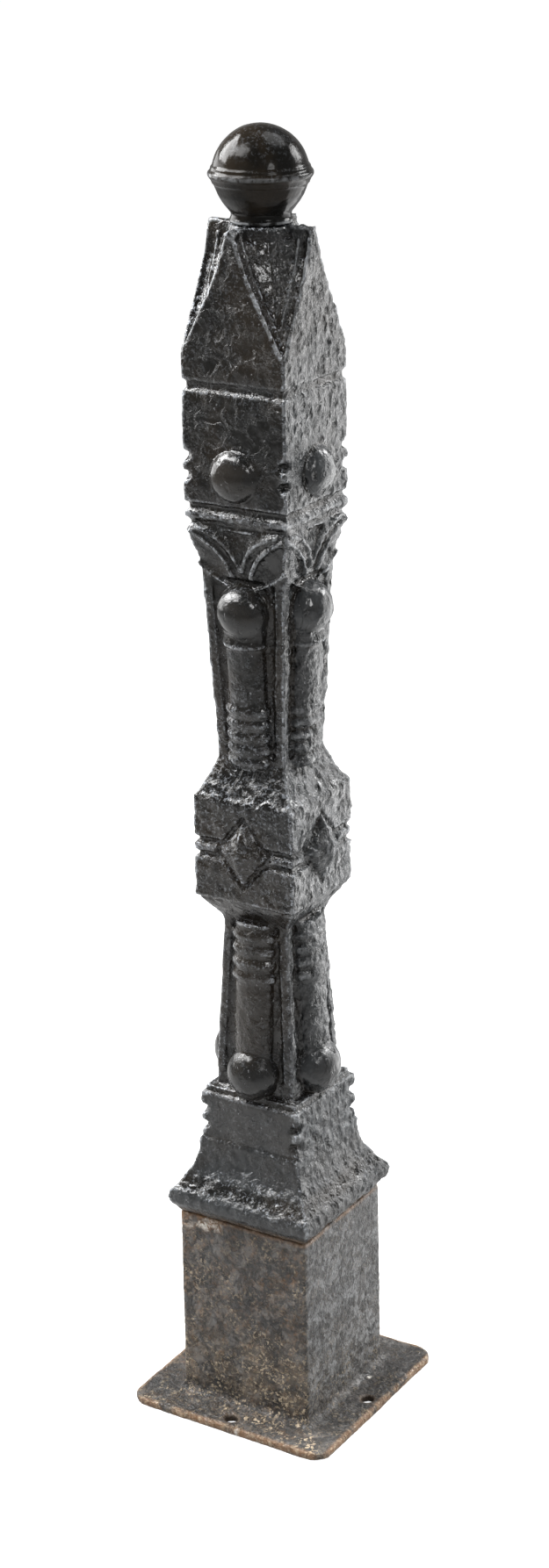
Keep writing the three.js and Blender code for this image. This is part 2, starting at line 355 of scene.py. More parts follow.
def taperedPanel(which):  # the sunk field between the corner bars of a shaft
    clearSelection()
    bpy.ops.mesh.primitive_cube_add(size=2)
    panel = bpy.context.object
    panel.name = which + "Panel"
    for vertex in panel.data.vertices:
        half, height = shaft[which]["head" if vertex.co.z > 0 else "foot"]
        reach = half - shaft["panelDepth"] if vertex.co.y > 0 else half + shaft["panelClear"]
        across = math.copysign(half - shaft["cornerBar"], vertex.co.x)
        vertex.co = (across * mm, -reach * mm, height * mm)
    return onFourSides(panel)


def colonette(which):
    lowHalf, lowHeight = shaft[which]["foot"]
    highHalf, highHeight = shaft[which]["head"]
    bottom, top = shaft[which]["colonette"]
    middle = (bottom + top) / 2
    clearSelection()
    bpy.ops.mesh.primitive_cylinder_add(
        vertices=64, radius=shaft["colonetteHalf"] * mm, depth=(top - bottom) * mm
    )
    parts = [bpy.context.object]
    for height in shaft[which]["rings"]:
        bpy.ops.mesh.primitive_torus_add(
            major_segments=64,
            minor_segments=16,
            major_radius=(shaft["ringOuter"] - shaft["ringBead"]) * mm,
            minor_radius=shaft["ringBead"] * mm,
            location=(0, 0, (height - middle) * mm),
        )
        parts.append(bpy.context.object)
    column = joinAll(parts)
    column.name = which + "Colonette"
    column.scale.y = shaft["colonetteProud"] / shaft["colonetteHalf"]
    column.rotation_euler.x = math.atan2(highHalf - lowHalf, highHeight - lowHeight)
    share = (middle - lowHeight) / (highHeight - lowHeight)
    face = lowHalf + (highHalf - lowHalf) * share
    column.location = (0, -face * mm, middle * mm)
    settle(column)
    return onFourSides(column)


balls = {
    "upper": {"radius": 26, "proud": 24.5, "reach": 41.4, "height": 837},
    "lower": {"radius": 28, "proud": 27, "reach": 41.5, "height": 369.5},
    "head": {"radius": 24, "proud": 14, "reach": 54.7, "height": 967},
    "cup": [(21.8, 804), (23.0, 807), (21.8, 810), (21.8, 816.5), (24.6, 829)],
    "cupDepth": 0.74,
}


def ballOn(which):
    size = balls[which]
    clearSelection()
    bpy.ops.mesh.primitive_uv_sphere_add(segments=64, ring_count=32, radius=size["radius"] * mm)
    ball = bpy.context.object
    ball.name = which + "Ball"
    ball.scale.y = size["proud"] / size["radius"]
    ball.location = (0, -size["reach"] * mm, size["height"] * mm)
    settle(ball)
    return onFourSides(ball)


def ballCup():
    cup = riseUp("ballCup", 64, balls["cup"])
    cup.scale.y = balls["cupDepth"]
    cup.location.y = -balls["upper"]["reach"] * mm
    settle(cup)
    return onFourSides(cup)


lozenge = {
    "height": 601,
    "halfWidth": 31,
    "halfHeight": 38,
    "sunk": 4.0,
    "clear": 6,
    "pillowShare": 0.88,  # of the sinking
    "pillow": [(1, -7), (1, -2.4), (0.88, 2), (0.62, 6.6), (0.34, 10), (0.08, 12.5)],
    "grooves": (593, 607),
    "grooveSection": [(0, -3), (3.6, -2), (3.6, 3), (0, 4)],  # depth, height
}


def lozengeSinking():
    wide = lozenge["halfWidth"]
    tall = lozenge["halfHeight"]
    height = lozenge["height"]
    outline = [(-wide, height), (0, height - tall), (wide, height), (0, height + tall)]
    face = body["blockHalf"]
    slab = faceSlab("lozengeSinking", outline, face - lozenge["sunk"], face + lozenge["clear"])
    return onFourSides(slab)


def lozengePillow():
    pillow = riseUp("lozengePillow", 4, lozenge["pillow"])
    pillow.rotation_euler.z = math.radians(45)
    settle(pillow)
    across = lozenge["halfWidth"] * lozenge["pillowShare"] / math.sqrt(2)
    tall = lozenge["halfHeight"] * lozenge["pillowShare"] / math.sqrt(2)
    pillow.scale = (across, tall, 1)
    settle(pillow)
    pillow.rotation_euler.x = math.radians(90)
    pillow.location = (0, -body["blockHalf"] * mm, lozenge["height"] * mm)
    settle(pillow)
    return onFourSides(pillow)


notches = {
    "notch": (12, 8.8, 4.7),  # half-width, depth and half-height
    "notchHeights": (981, 962.5, 322, 304),
    "lobe": (5.2, 6.8, 5.2),  # rounded bumps between and beside the notches
    "lobeInset": 6.6,
    "lobeHeights": (972, 331.5, 313, 296),
}


def atCorner(name, size, inset, heights):  # round forms on an arris
    forms = []
    for height in heights:
        clearSelection()
        bpy.ops.mesh.primitive_uv_sphere_add(segments=32, ring_count=20, radius=1 * mm)
        form = bpy.context.object
        form.name = name
        form.scale = size
        form.location = (0, -(body["blockHalf"] * math.sqrt(2) - inset) * mm, height * mm)
        settle(form)
        form.rotation_euler.z = math.radians(45)
        settle(form)
        forms.append(form)
    return onFourSides(joinAll(forms))


def cornerNotches():
    return atCorner("cornerNotch", notches["notch"], 0, notches["notchHeights"])


def cornerLobes():
    return atCorner("cornerLobe", notches["lobe"], notches["lobeInset"], notches["lobeHeights"])


leaves = {  # across and height, and then the reach where a third number stands
    "rib": 2.5,
    "innerRib": [(0.8, 875, 45.8), (5, 892, 49.6), (13, 903, 52.2), (26, 910, 53), (44, 915, 53)],
    "outerRib": [
        (10, 870, 46.4), (14, 886, 49.2), (25, 898, 51.8), (39, 907, 53.2),
        (51, 911, 53.6),
    ],
    "edgeBead": 1.3,
    "lowerEdge": [
        (14, 860, 44.6), (20, 862, 45.2), (31, 867, 46.0), (42, 873, 46.8),
        (46, 880, 47.6),
    ],
    "skin": [(46.2, 855), (46.6, 878), (48.8, 888), (51.2, 897), (52.6, 906), (52.6, 908)],
    "trimFoot": [(-60, 851), (60, 851)],
    "trimSide": [(60, 878), (44, 873), (31, 866), (16, 859)],
    "trimMiddle": (0, 855),
    "trimReach": (43.6, 60),
    "spandrel": [(-19, 914), (-9, 902), (0, 884), (9, 902), (19, 914)],
    "spandrelReach": (48.0, 60.2),
}


def leafSkin():
    skin = riseUp("leafSkin", 4, leaves["skin"])
    right = leaves["trimSide"]
    left = [(-across, height) for across, height in reversed(right)]
    outline = [*leaves["trimFoot"], *right, leaves["trimMiddle"], *left]
    combine(skin, onFourSides(faceSlab("leafTrim", outline, *leaves["trimReach"])), "DIFFERENCE")
    return skin


def leafRibs():
    lines = (("innerRib", "rib"), ("outerRib", "rib"), ("lowerEdge", "edgeBead"))
    ribs = [mirrored(rod("leafRib", leaves[line], leaves[size])) for line, size in lines]
    return onFourSides(joinAll(ribs))


def spandrel():
    return onFourSides(faceSlab("spandrel", leaves["spandrel"], *leaves["spandrelReach"]))


cap = {
    "slope": [  # half-width of a gable and its height
        (55.2, 1060), (54.6, 1068), (52.6, 1074), (48.6, 1081), (44.2, 1090),
        (39.0, 1100), (33.4, 1110), (27.9, 1120), (22.6, 1130), (17.8, 1140),
        (13.0, 1149), (8.8, 1158), (6.0, 1167), (5.2, 1176), (5.0, 1184), (3.4, 1187),
    ],
    "thickness": 15,
    "lip": 2.1,
    "lipProud": 0.3,
    "lipSteps": (2, 5, 8, 11, 13),  # the points of the slope that the lip runs through
    "facets": [(66, 1066), (30, 1174)],
    "facetLimit": 54.2,
    "facetBottom": 1062,
    "drum": 30,
    "drumDrop": 0.3,  # below the post's top
    "drumEdge": (1.6, 2),
    "ridge": (10, 47.2, 20),  # width, length and depth
    "ridgeEdge": 2,
}


def gables():
    half = body["blockHalf"]
    middle = half - cap["thickness"] / 2
    width, height = cap["slope"][0]
    clearSelection()
    bpy.ops.mesh.primitive_plane_add(size=2 * mm, location=(0, -middle * mm, height * mm))
    slab = bpy.context.object
    slab.name = "gable"
    slab.scale = (width, cap["thickness"] / 2, 1)
    settle(slab)
    bpy.ops.object.mode_set(mode="EDIT")
    bpy.ops.mesh.select_all(action="SELECT")
    liftSection(cap["slope"], False, -middle)
    faceOutward(slab)
    lips = []
    steps = [cap["slope"][step] for step in cap["lipSteps"]]
    for reach in (half - cap["lip"], half - cap["thickness"] + cap["lip"]):
        points = [(across + cap["lipProud"], height, reach) for across, height in steps]
        lips.append(mirrored(rod("gableLip", points, cap["lip"])))
    return onFourSides(joinAll([slab, *lips]))


def capMiddle():
    facets = riseUp("capFacets", 4, cap["facets"])
    facets.rotation_euler.z = math.radians(45)
    settle(facets)
    half = cap["facetLimit"]
    low = cap["facetBottom"]
    combine(facets, riseUp("capBlock", 4, [(half, low), (half, postTop)]), "INTERSECT")
    drumTop = postTop - cap["drumDrop"]
    edgeIn, edgeDown = cap["drumEdge"]
    wide = cap["drum"]
    section = [(wide, low), (wide, drumTop - edgeDown), (wide - edgeIn, drumTop)]
    drum = riseUp("capDrum", 64, section)
    width, length, depth = cap["ridge"]
    clearSelection()
    bpy.ops.mesh.primitive_cube_add(
        size=1 * mm,
        location=(0, -length / 2 * mm, (drumTop - depth / 2) * mm),
        scale=(width, length, depth),
    )
    ridge = bpy.context.object
    settle(ridge)
    applyModifier(ridge, "BEVEL", width=cap["ridgeEdge"] * mm, segments=3)
    return joinAll([facets, drum, onFourSides(ridge)])


casting = {
    "voxel": 1.5,
    "smoothing": 4,
    "mostTriangles": 190000,
}


def fuse(parts, name, voxel, smoothing):  # one skin over all the forms, with softened edges
    skin = joinAll(parts)
    skin.name = name
    skin.data.name = name
    applyModifier(skin, "REMESH", mode="VOXEL", voxel_size=voxel * mm, use_smooth_shade=True)
    applyModifier(skin, "SMOOTH", factor=0.5, iterations=smoothing)
    return skin


def thin(item, most):  # fewer triangles, kept where the form turns
    count = sum(len(face.vertices) - 2 for face in item.data.polygons)
    if count > most:
        applyModifier(item, "DECIMATE", ratio=most / count)


def roughen(item, name, kind, size, strength, stretch=1, group="", hard=False):
    texture = bpy.data.textures.new(name, kind)
    texture.noise_scale = size * mm
    if kind == "CLOUDS":
        texture.noise_depth = 2
        texture.noise_type = "HARD_NOISE" if hard else "SOFT_NOISE"
    clearSelection()
    bpy.ops.object.empty_add(location=(0, 0, 0))
    guide = bpy.context.object
    guide.scale.z = stretch
    bpy.context.view_layer.update()
    applyModifier(
        item,
        "DISPLACE",
        texture=texture,
        texture_coords="OBJECT",
        texture_coords_object=guide,
        strength=strength * mm,
        mid_level=0.5,
        vertex_group=group,
    )
    bpy.data.objects.remove(guide)


def roughWeights(item, name, weightAt):
    group = item.vertex_groups.new(name=name)
    for vertex in item.data.vertices:
        group.add([vertex.index], weightAt(vertex.co / mm), "REPLACE")


def markRidges(item, rounds):  # 0.5 on flat skin, more on a ridge and less in a hollow
    mesh = item.data
    places = np.empty(3 * len(mesh.vertices))
    normals = np.empty(3 * len(mesh.vertices))
    ends = np.empty(2 * len(mesh.edges), dtype=int)
    mesh.vertices.foreach_get("co", places)
    mesh.vertices.foreach_get("normal", normals)
    mesh.edges.foreach_get("vertices", ends)
    places = places.reshape(-1, 3)
    normals = normals.reshape(-1, 3)
    first, second = ends.reshape(-1, 2).T
    along = places[second] - places[first]
    along /= np.maximum(np.linalg.norm(along, axis=1), 1e-9)[:, None]
    turned = ((normals[second] - normals[first]) * along).sum(axis=1)
    count = np.bincount(first, minlength=len(places)) + np.bincount(second, minlength=len(places))
    count = np.maximum(count, 1)
    bent = np.bincount(first, turned, len(places)) + np.bincount(second, turned, len(places))
    bent /= count
    for _ in range(rounds):
        spread = np.bincount(first, bent[second], len(places))
        spread += np.bincount(second, bent[first], len(places))
        bent = 0.4 * bent + 0.6 * spread / count
    ridge = mesh.attributes.new("ridge", "FLOAT", "POINT")
    ridge.data.foreach_set("value", np.clip(0.5 + bent, 0, 1))


def markPlaces(item, name, shareAt):  # a number at every vertex, for the material to read
    mark = item.data.attributes.new(name, "FLOAT", "POINT")
    mark.data.foreach_set("value", [shareAt(vertex.co / mm) for vertex in item.data.vertices])


wear = {
    "smoothSides": 0.3,  # the paint is smoothest on the -Y and -X sides
    "roughSides": 1.0,
    "sideBlend": 4,  # how far the change between them spreads
    "rougher": ((545, 690), (225, 300)),  # round the middle block and on the cove
    "extra": 0.45,
    "ridgeRounds": 3,
    "ballShare": 0.38,  # the balls stay smooth
    "ballMargin": 1.5,
    # size and strength, and then how many times as tall as wide
    "lumps": (36, 1.9),
    "wrinkles": (12, 2.8),
    "drips": (10, 1.5, 2),
    "pits": (7, 1.7, 1.6),
}


def onBall(place):
    across, out = sorted((abs(place.x), abs(place.y)))
    for ball in (balls["lower"], balls["upper"], balls["head"]):
        away = math.hypot(across, out - ball["reach"], place.z - ball["height"])
        if away < ball["radius"] + wear["ballMargin"] and out > ball["reach"]:
            return 1
    return 0


def wrinkleWeight(place):
    share = min(1, max(0, (place.x + place.y) / wear["sideBlend"] / 2 + 0.5))
    weight = wear["smoothSides"] + (wear["roughSides"] - wear["smoothSides"]) * share
    for low, high in wear["rougher"]:
        if low < place.z < high:
            weight += wear["extra"]
    weight *= 1 - (1 - wear["ballShare"]) * onBall(place)
    return min(1, weight)


def postBody():
    trunk = riseUp("trunk", 4, bodyProfile())
    roundEdges(trunk, isLowerShaftCorner, shaft["cornerRound"], 4)
    for cutter in (taperedPanel("lower"), taperedPanel("upper"), lozengeSinking(), cornerNotches()):
        combine(trunk, cutter, "DIFFERENCE")
    skin = leafSkin()
    combine(trunk, spandrel(), "DIFFERENCE")
    combine(skin, spandrel(), "DIFFERENCE")
    print("post body cut")
    parts = [
        trunk,
        skin,
        leafRibs(),
        colonette("lower"),
        colonette("upper"),
        ballOn("lower"),
        ballOn("upper"),
        ballOn("head"),
        ballCup(),
        lozengePillow(),
        cornerLobes(),
        gables(),
        capMiddle(),
    ]
    post = fuse(parts, "newelBody", casting["voxel"], casting["smoothing"])
    print("post body fused")
    markRidges(post, wear["ridgeRounds"])
    markPlaces(post, "ball", onBall)
    roughWeights(post, "wrinkled", wrinkleWeight)
    roughen(post, "castLumps", "CLOUDS", *wear["lumps"])
    roughen(post, "paintWrinkles", "CLOUDS", *wear["wrinkles"], group="wrinkled", hard=True)
    roughen(post, "paintDrips", "CLOUDS", *wear["drips"], group="wrinkled")
    roughen(post, "castPits", "VORONOI", *wear["pits"], group="wrinkled")
    thin(post, casting["mostTriangles"])
    return post


newelBody = postBody()
print("post body finished", len(newelBody.data.polygons))


# Pedestal: a square box on a flange plate with a screw hole in the middle of each side

pedestal = {
    "half": 73.6,
    "draft": 0.9,
    "plateSide": 228.6,
    "plateThickness": 8.5,
    "plateCorner": 19,
    "plateEdge": 2.2,
    "footRadius": 9,
    "footSunk": 1,  # into the plate
    "boxStart": 2,
    "boxCorner": 3,
    "hole": 6.3,
    "holeReach": 99,
    "voxel": 1.8,
    "smoothing": 4,
    "ridgeRounds": 2,
    "lumps": (34, 1.5),
    "scale": (8, 0.9),
}


def isUpright(first, second):
    return abs(first.z - second.z) > 1


def isPlateEdge(first, second):
    return min(first.z, second.z) > pedestal["plateThickness"] - 0.1


def isBoxCorner(first, second):
    return abs(first.z - second.z) > 100


def flangePlate():
    clearSelection()
    side = pedestal["plateSide"]
    thick = pedestal["plateThickness"]
    bpy.ops.mesh.primitive_cube_add(
        size=1 * mm, location=(0, 0, thick / 2 * mm), scale=(side, side, thick)
    )
    plate = bpy.context.object
    plate.name = "flangePlate"
    settle(plate)
    roundEdges(plate, isUpright, pedestal["plateCorner"], 10)
    roundEdges(plate, isPlateEdge, pedestal["plateEdge"], 3)
    clearSelection()
    bpy.ops.mesh.primitive_cylinder_add(
        vertices=40,
        radius=pedestal["hole"] * mm,
        depth=4 * thick * mm,
        location=(0, -pedestal["holeReach"] * mm, 0),
    )
    hole = bpy.context.object
    settle(hole)
    combine(plate, onFourSides(hole), "DIFFERENCE")
    faceOutward(plate)
    return plate


def pedestalBox():
    half = pedestal["half"]
    foot = pedestal["footRadius"]
    footCentre = pedestal["plateThickness"] + foot - pedestal["footSunk"]
    profile = [
        (half + foot, pedestal["boxStart"]),
        *arc(half + foot, footCentre, foot, 270, 180, 8),
        (half - pedestal["draft"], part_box("pedestal")[1].z / mm),
    ]
    box = riseUp("pedestalBox", 4, profile)
    roundEdges(box, isBoxCorner, pedestal["boxCorner"], 4)
    return box


def pedestalPiece():
    parts = [flangePlate(), pedestalBox()]
    fused = fuse(parts, "newelPedestal", pedestal["voxel"], pedestal["smoothing"])
    markRidges(fused, pedestal["ridgeRounds"])
    roughen(fused, "ironLumps", "CLOUDS", *pedestal["lumps"])
    roughen(fused, "ironScale", "CLOUDS", *pedestal["scale"], hard=True)
    thin(fused, casting["mostTriangles"])
    for vertex in fused.data.vertices:  # the underside lies flat on the floor
        vertex.co.z = max(vertex.co.z, 0)
    return fused


newelPedestal = pedestalPiece()
print("pedestal finished", len(newelPedestal.data.polygons))


# Ball finial, turned on its own axis

finialLow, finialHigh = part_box("ball_finial")
finial = {
    "foot": finialLow.z / mm,
    "top": finialHigh.z / mm,
    "cup": [  # a half-width, and a height over the foot
        (28.4, 0.3), (28.4, 3), (27, 5), (27, 9), (30.5, 13), (34.4, 18), (38.0, 24),
        (40.8, 31), (42.0, 34.4), (43.4, 35), (43.6, 37), (44.6, 37.8),
    ],
    "ring": (43.2, 43, 4),  # its centre and its radius
    "overRing": [(44.6, 47.8), (44.4, 49.8), (43.2, 50.4)],
    "dome": 43.6,
    "voxel": 1.1,
    "smoothing": 2,
    "ridgeRounds": 2,
    "lumps": (28, 0.9),
    "wrinkles": (8, 0.35),
}


def finialPiece():
    foot = finial["foot"]
    dome = finial["dome"]
    ringHalf, ringHeight, ringRadius = finial["ring"]
    profile = [
        *[(half, foot + rise) for half, rise in finial["cup"]],
        *arc(ringHalf, foot + ringHeight, ringRadius, -70, 70, 8),
        *[(half, foot + rise) for half, rise in finial["overRing"]],
        *arc(0, finial["top"] - dome, dome, 12, 86, 18),
    ]
    ball = riseUp("newelFinial", 96, profile)
    fused = fuse([ball], "newelFinial", finial["voxel"], finial["smoothing"])
    markRidges(fused, finial["ridgeRounds"])
    roughen(fused, "ballLumps", "CLOUDS", *finial["lumps"])
    roughen(fused, "ballWrinkles", "CLOUDS", *finial["wrinkles"])
    return fused


newelFinial = finialPiece()
print("finial finished", len(newelFinial.data.polygons))


# Materials

def newNode(tree, kind, **settings):
    node = tree.nodes.new(kind)
    for name, value in settings.items():
        setattr(node, name, value)
    return node


def give(socket, value):  # a socket is linked and a plain value is set
    if isinstance(value, bpy.types.NodeSocket):
        socket.id_data.links.new(value, socket)
    else:
        socket.default_value = value


def feed(node, **inputs):
    for name, value in inputs.items():
        give(node.inputs[name.replace("_", " ")], value)
    return node


def noiseAt(place, scale, detail, roughness=0.55, distortion=0.0):
    node = newNode(place.id_data, "ShaderNodeTexNoise")
    feed(node, Vector=place, Scale=scale, Detail=detail)
    feed(node, Roughness=roughness, Distortion=distortion)
    return node.outputs["Fac"]


def between(value, low, high, toLow=0.0, toHigh=1.0):  # a soft step
    node = newNode(value.id_data, "ShaderNodeMapRange", interpolation_type="SMOOTHSTEP")
    feed(node, Value=value, From_Min=low, From_Max=high, To_Min=toLow, To_Max=toHigh)
    return node.outputs["Result"]


def reckon(operation, first, second=0.0):
    known = first if isinstance(first, bpy.types.NodeSocket) else second
    node = newNode(known.id_data, "ShaderNodeMath", operation=operation)
    give(node.inputs[0], first)
    give(node.inputs[1], second)
    return node.outputs["Value"]


def times(*values):
    total = values[0]
    for value in values[1:]:
        total = reckon("MULTIPLY", total, value)
    return total


def plus(*values):
    total = values[0]
    for value in values[1:]:
        total = reckon("ADD", total, value)
    return total


def without(value):
    return reckon("SUBTRACT", 1.0, value)


def blendColour(mask, first, second):
    node = newNode(mask.id_data, "ShaderNodeMix", data_type="RGBA")
    for index, value in ((0, mask), (6, first), (7, second)):
        give(node.inputs[index], value)
    return node.outputs[2]


def drawnOut(place, share):  # below 1, the pattern runs on downwards
    node = newNode(place.id_data, "ShaderNodeMapping")
    return feed(node, Vector=place, Scale=(1, 1, share)).outputs["Vector"]


def partsOf(vector):  # its x, y and z as plain numbers
    split = feed(newNode(vector.id_data, "ShaderNodeSeparateXYZ"), Vector=vector)
    return split.outputs["X"], split.outputs["Y"], split.outputs["Z"]


def newGroup(name, inputs, outputs):  # a place and some numbers go in, and numbers come out
    group = bpy.data.node_groups.new(name, "ShaderNodeTree")
    face = group.interface
    face.new_socket(name="Place", in_out="INPUT", socket_type="NodeSocketVector")
    for label, value in inputs.items():
        socket = face.new_socket(name=label, in_out="INPUT", socket_type="NodeSocketFloat")
        socket.default_value = value
    for label in outputs:
        face.new_socket(name=label, in_out="OUTPUT", socket_type="NodeSocketFloat")
    source = newNode(group, "NodeGroupInput").outputs
    return group, source, newNode(group, "NodeGroupOutput")


grain = {
    "foldStretch": 0.72,
    "fineFolds": 2.3,  # times as small as the folds
    "fineShare": 0.3,
    "creasedPlaces": 55,
    "creaseDepth": 0.12,
    "pitStretch": 0.6,
    "wobble": (260.0, 0.005),  # size, and how far it moves the pits' edges
}


def crumpledGroup():  # thick paint dried in folds, which run downwards
    inputs = {"Size": 120.0, "Fold": 0.05}
    group, source, target = newGroup("crumpled", inputs, ["Height", "Creases"])
    drawn = drawnOut(source["Place"], grain["foldStretch"])
    folds = noiseAt(drawn, source["Size"], 1.5, 0.5, 0.5)
    fine = noiseAt(drawn, times(source["Size"], grain["fineFolds"]), 1, 0.5, 0.3)
    away = reckon("ABSOLUTE", reckon("SUBTRACT", folds, 0.5))
    where = between(noiseAt(source["Place"], grain["creasedPlaces"], 3), 0.42, 0.56)
    creases = times(between(away, 0.0, source["Fold"], 1, 0), where)
    height = plus(folds, times(fine, grain["fineShare"]))
    height = reckon("SUBTRACT", height, times(creases, grain["creaseDepth"]))
    feed(target, Height=height, Creases=creases)
    return group


def pitsGroup():  # small round pits, or raised specks
    inputs = {"Size": 200.0, "Amount": 0.3, "Radius": 0.35}
    group, source, target = newGroup("pits", inputs, ["Mask"])
    wobbleSize, wobbleReach = grain["wobble"]
    wobble = newNode(group, "ShaderNodeTexNoise")
    feed(wobble, Vector=source["Place"], Scale=wobbleSize, Detail=3.0)
    bent = newNode(group, "ShaderNodeVectorMath", operation="MULTIPLY_ADD")
    give(bent.inputs[0], wobble.outputs["Color"])
    give(bent.inputs[1], (wobbleReach, wobbleReach, wobbleReach))
    give(bent.inputs[2], drawnOut(source["Place"], grain["pitStretch"]))
    cells = newNode(group, "ShaderNodeTexVoronoi", feature="F1")
    feed(cells, Vector=bent.outputs["Vector"], Scale=source["Size"])
    chance = feed(newNode(group, "ShaderNodeSeparateColor"), Color=cells.outputs["Color"])
    chosen = reckon("LESS_THAN", chance.outputs["Red"], source["Amount"])
    rounded = between(cells.outputs["Distance"], 0.0, source["Radius"], 1, 0)
    feed(target, Mask=times(rounded, chosen))
    return group


def patchesGroup():  # soft patches with ragged edges
    inputs = {"Size": 20.0, "Amount": 0.5, "Softness": 0.08}
    group, source, target = newGroup("patches", inputs, ["Mask"])
    broad = noiseAt(source["Place"], source["Size"], 6, 0.62, 0.6)
    start = reckon("SUBTRACT", 0.75, times(source["Amount"], 0.5))
    low = reckon("SUBTRACT", start, source["Softness"])
    feed(target, Mask=between(broad, low, plus(start, source["Softness"])))
    return group


crumpled = crumpledGroup()
pits = pitsGroup()
patches = patchesGroup()


def useGroup(group, place, **inputs):
    node = newNode(place.id_data, "ShaderNodeGroup", node_tree=group)
    return feed(node, Place=place, **inputs).outputs


def foldsAt(place, size, fold):
    return useGroup(crumpled, place, Size=size, Fold=fold)


def pitsAt(place, size, amount, radius):
    return useGroup(pits, place, Size=size, Amount=amount, Radius=radius)["Mask"]


def patchesAt(place, size, amount, softness):
    return useGroup(patches, place, Size=size, Amount=amount, Softness=softness)["Mask"]


def markOn(place, name):  # a number that markRidges or markPlaces left on the mesh
    node = newNode(place.id_data, "ShaderNodeAttribute", attribute_name=name)
    return node.outputs["Fac"]


def newMaterial(name):
    material = bpy.data.materials.new(name)
    material.use_nodes = True
    tree = material.node_tree
    place = newNode(tree, "ShaderNodeTexCoord").outputs["Object"]
    return material, tree.nodes["Principled BSDF"], place


def bumpFrom(height, distance):
    node = newNode(height.id_data, "ShaderNodeBump")
    return feed(node, Height=height, Strength=1.0, Distance=distance).outputs["Normal"]


def roughSideOf(x, y):  # 1 on the +X and +Y sides, 0 on the other two
    return between(plus(x, y), -0.002, 0.003)


paint = {
    "deep": (0.006, 0.0057, 0.005, 1),
    "brown": (0.017, 0.013, 0.009, 1),
    "grey": (0.049, 0.053, 0.056, 1),  # grey of dust with painted sheen: on the rough sides, the base block, the balls and the cove
    "worn": (0.30, 0.31, 0.32, 1),
    "speck": (0.55, 0.56, 0.58, 1),
    "paintedGlint": (0.50, 0.53, 0.58, 1),  # painted glints: light colour standing in for highlights where the paint stands up
    "rust": (0.17, 0.115, 0.07, 1),
    "folds": (88.0, 0.05),  # size, and how wide a crease is
    "smallFolds": (210.0, 0.04),
    "pits": (125.0, 0.42, 0.5),  # size, amount and radius
    "specks": (420.0, 0.02, 0.45),
    "paintedGlints": (360.0, 0.36, 0.03),  # size, amount and softness, as in the next five; the spots for the painted glints
    "browned": (11.0, 0.5, 0.1),
    "bloom": (24.0, 0.62, 0.14),
    "crinkled": (48.0, 0.52, 0.07),
    "scuffsAndGlints": (90.0, 0.5, 0.1),
    "rusty": (36.0, 0.6, 0.14),
    "baseBlock": (0.350, 0.332),  # heights in metres: where a zone begins, and where it is full
    "shadedCove": (0.292, 0.275),
    "greyCove": (0.29, 0.25),
    "overBead": (0.236, 0.243),
    "underCove": (0.256, 0.249),
    "rustLine": (0.220, 0.214),
    "aboveShaft": (0.54, 0.56),
    "belowFlare": (0.80, 0.70),
    "head": (1.0, 1.12, 1, 0.45),  # from full down to 0.45: the rough sides' painted sheen fades towards the top
    "capSlopes": (1.055, 1.07),
    "facingUp": (0.25, 0.75),
    "ridge": (0.56, 0.68),  # of what markRidges leaves, as the next one
    "hollow": (0.38, 0.46),
    "greyShare": {"base": 0.36, "sides": 0.66, "balls": 0.12, "cove": 0.25},
    # how strongly the painted highlights fall in each place
    "glintShare": {
        "tops": 0.5,
        "ridges": 0.6,
        "crinkles": 0.07,
        "cap": 0.9,
        "middleGlints": 0.14,
        "rest": 0.02,
    },
    "foldShare": {"sides": 0.45, "tops": 0.3, "crinkles": 0.2, "rest": 0.12},
    "smallFoldShare": 0.4,
    "pitShare": {"sides": 0.6, "rest": 0.2},
    "darkShare": {"creases": 0.5, "sides": 0.6, "rest": 0.35},
    "layers": {  # how strong each one is
        "shadedCove": 0.45,
        "bloom": 0.55,
        "worn": 0.6,
        "specks": 0.4,
        "paintedGlints": 0.85,
        "rust": 0.6,
    },
    "dulling": {"grey": 0.12, "base": 0.08},
    "plainBalls": 0.68,  # how much of the folds and glints the balls lose
    "patchyGloss": (26, 4, 0.6),
    "bump": 0.0030,
}


